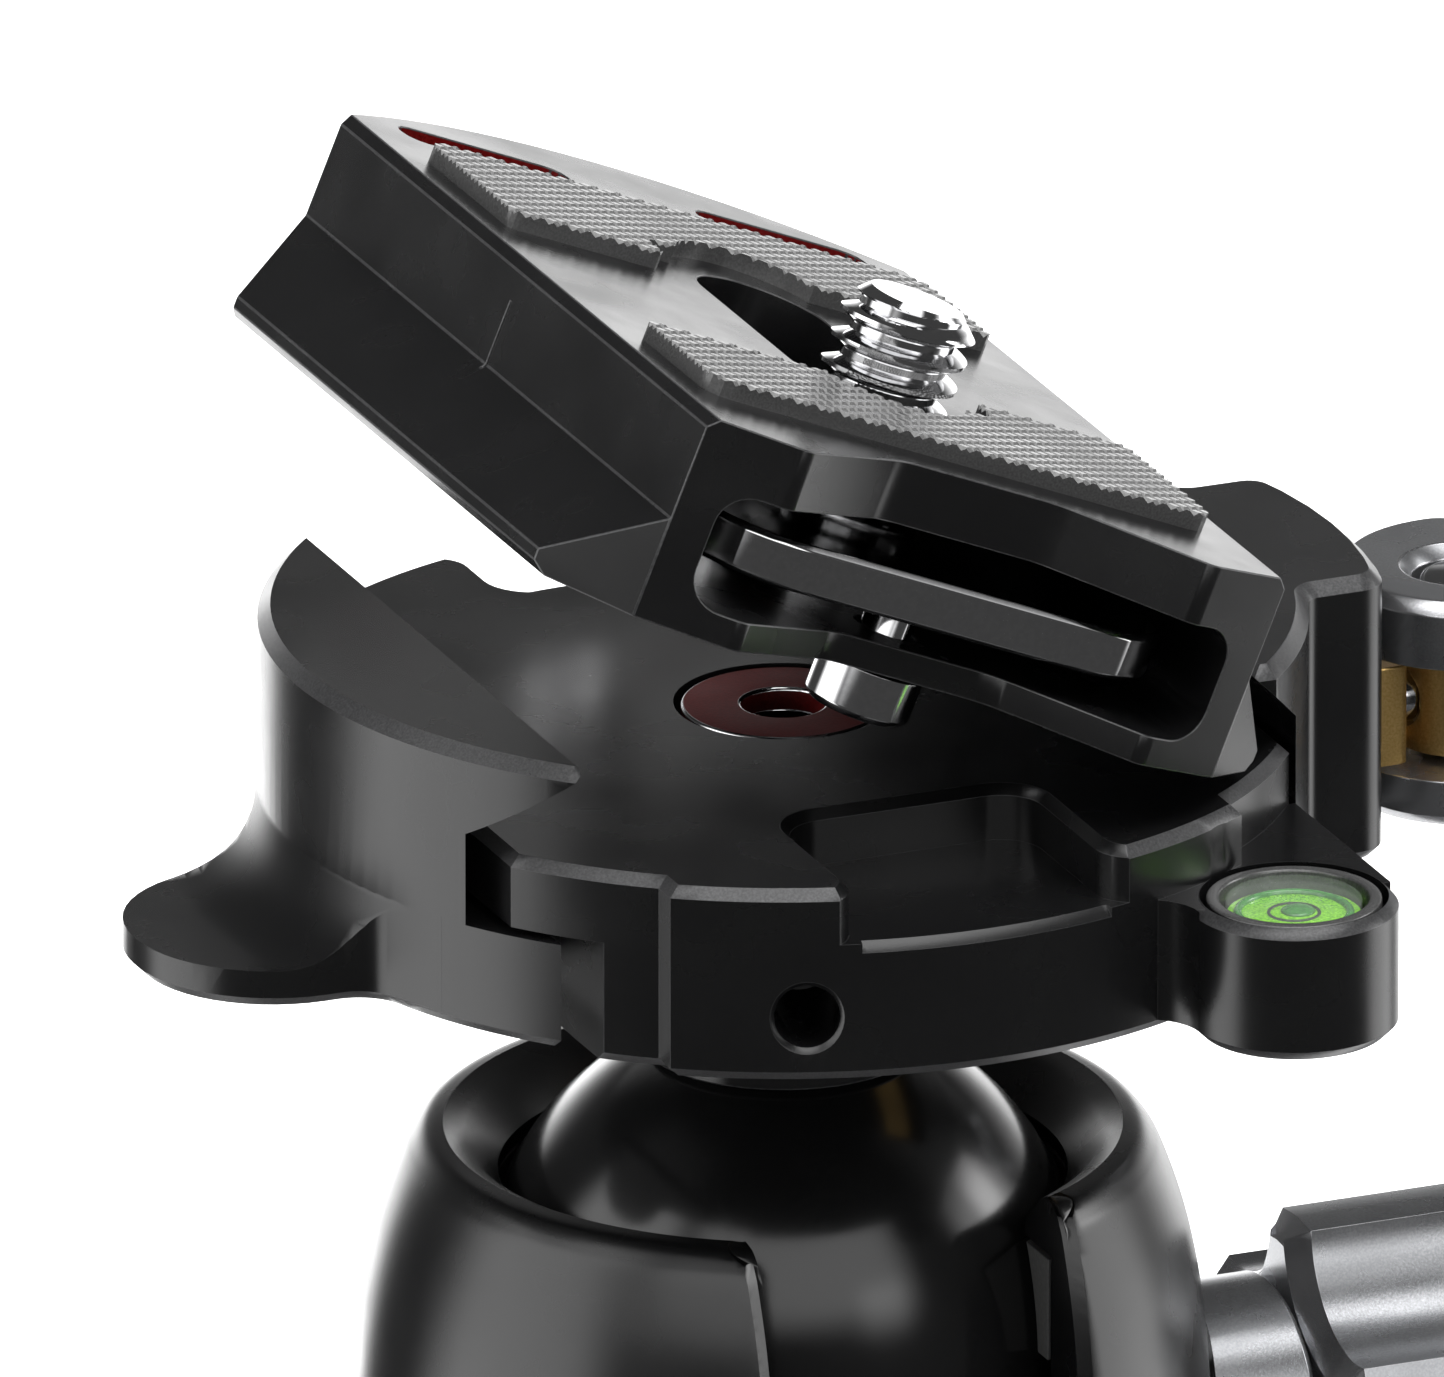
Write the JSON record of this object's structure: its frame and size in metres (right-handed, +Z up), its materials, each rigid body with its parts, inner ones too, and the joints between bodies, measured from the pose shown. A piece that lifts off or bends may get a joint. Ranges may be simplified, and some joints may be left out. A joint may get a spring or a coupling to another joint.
{
  "type": "tripod ball head",
  "caption": "Compact tripod ball head: housing with drop notch, locking ball, panning base, lever clamp with bubble level, and a dovetail quick-release plate lying tilted in it.",
  "frame": {"origin": "centre of the bounding box at rest, on the plane that the base stands on", "axes": "+Z up, +X from the head's axis towards the main knob and the clamp lever, -Y towards the drop notch"},
  "size_m": [0.0978, 0.0588, 0.0829],
  "materials": {
    "black_anodised": "bead-blasted and black anodised",
    "polished_steel": "polished",
    "white_polymer": "plain",
    "grey_anodised": "turned or milled, grey anodised",
    "brass": "machined",
    "satin_black": "satin black anodised",
    "dark_red": "dark red anodised",
    "level_cup_black": "matt black",
    "level_green": "clear green fluid",
    "clear_cover": "clear",
    "black_rubber": "matt, knurled where it touches the camera"
  },
  "bodies": {
    "base": {"pan_base": "black_anodised", "tripod_socket_bush": "polished_steel", "pan_washer": "white_polymer", "pan_retainer": "polished_steel", "pan_screw": "polished_steel"},
    "housing": {"housing": "black_anodised", "floor_ring": "polished_steel", "lower_ball_cup": "white_polymer", "upper_ball_seat": "white_polymer", "knob_collar": "grey_anodised"},
    "main_lock": {"brake_shoe": "brass"},
    "main_knob": {"main_knob": "grey_anodised", "main_knob_cap": "black_anodised", "main_screw": "polished_steel"},
    "pan_lock": {"pan_lock_pad": "brass"},
    "pan_knob": {"pan_lock_knob": "grey_anodised", "pan_lock_screw": "polished_steel"},
    "ball": {"ball": "satin_black"},
    "neck": {"neck": "satin_black"},
    "clamp": {"clamp_body": "black_anodised", "centre_disc": "dark_red", "clamp_screw": "polished_steel", "level_cup": "level_cup_black", "level_vial": "level_green", "level_lens": "clear_cover", "right_jaw": "black_anodised", "right_jaw_screw_front": "polished_steel", "right_jaw_screw_back": "polished_steel", "rod_bush": "brass"},
    "jaw": {"left_jaw": "black_anodised", "guide_rod_front": "polished_steel", "guide_rod_back": "polished_steel", "return_spring_front": "polished_steel", "return_spring_back": "polished_steel", "jaw_yoke": "brass", "draw_rod": "polished_steel", "pivot_barrel": "brass", "pivot_pin": "polished_steel"},
    "lever": {"clamp_lever": "grey_anodised"},
    "plate": {"plate": "black_anodised", "pad_front": "black_rubber", "pad_rear": "black_rubber", "stop_screw_near": "polished_steel", "stop_screw_far": "polished_steel"},
    "carrier": {"screw_carrier": "polished_steel"},
    "camera_screw": {"camera_screw": "polished_steel", "screw_clip": "polished_steel"}
  },
  "joints": [
    {"name": "pan", "type": "hinge", "parent": "base", "child": "housing", "pos_m": [-0.01705, 0.00032, 0.008], "axis": [0, 0, 1], "continuous": true},
    {"name": "main_lock_slide", "type": "slide", "parent": "housing", "child": "main_lock", "axis": [1, 0, 0], "range_m": [0, 0.0006]},
    {"name": "main_knob_turn", "type": "hinge", "parent": "main_lock", "child": "main_knob", "pos_m": [0.01295, 0.00032, 0.0222], "axis": [1, 0, 0], "range_deg": [0, 270]},
    {"name": "pan_lock_slide", "type": "slide", "parent": "housing", "child": "pan_lock", "axis": [0, 1, 0], "range_m": [0, 0.0006]},
    {"name": "pan_knob_turn", "type": "hinge", "parent": "pan_lock", "child": "pan_knob", "pos_m": [-0.01705, 0.02432, 0.0099], "axis": [0, 1, 0], "range_deg": [0, 270]},
    {"name": "side_tilt", "type": "hinge", "parent": "housing", "child": "ball", "pos_m": [-0.01705, 0.00032, 0.0307], "axis": [0, 1, 0], "range_deg": [-25, 25]},
    {"name": "fore_tilt", "type": "hinge", "parent": "ball", "child": "neck", "pos_m": [-0.01705, 0.00032, 0.0307], "axis": [1, 0, 0], "range_deg": [-25, 90]},
    {"name": "clamp_spin", "type": "hinge", "parent": "neck", "child": "clamp", "pos_m": [-0.01705, 0.00032, 0.055], "axis": [0, 0, 1], "continuous": true},
    {"name": "jaw_slide", "type": "slide", "parent": "clamp", "child": "jaw", "axis": [1, 0, 0], "range_m": [0, 0.0012]},
    {"name": "lever_turn", "type": "hinge", "parent": "jaw", "child": "lever", "pos_m": [0.01655, 0.00032, 0.056], "axis": [0, 0, 1], "range_deg": [0, 100]},
    {"name": "plate_lift", "type": "slide", "parent": "clamp", "child": "plate", "axis": [0, 0, 1], "range_m": [0, 0.045]},
    {"name": "screw_slide", "type": "slide", "parent": "plate", "child": "carrier", "axis": [0, 1, 0], "range_m": [0, 0.0135]},
    {"name": "screw_turn", "type": "hinge", "parent": "carrier", "child": "camera_screw", "pos_m": [-0.01734, -0.00717, 0.07255], "axis": [0.3859, 0, 0.9225], "continuous": true}
  ],
  "couplings": [
    {"joint": "main_lock_slide", "follows": "main_knob_turn", "m_per_rad": 0.000127},
    {"joint": "pan_lock_slide", "follows": "pan_knob_turn", "m_per_rad": 0.000127},
    {"joint": "jaw_slide", "follows": "lever_turn", "m_per_rad": 0.000687}
  ]
}
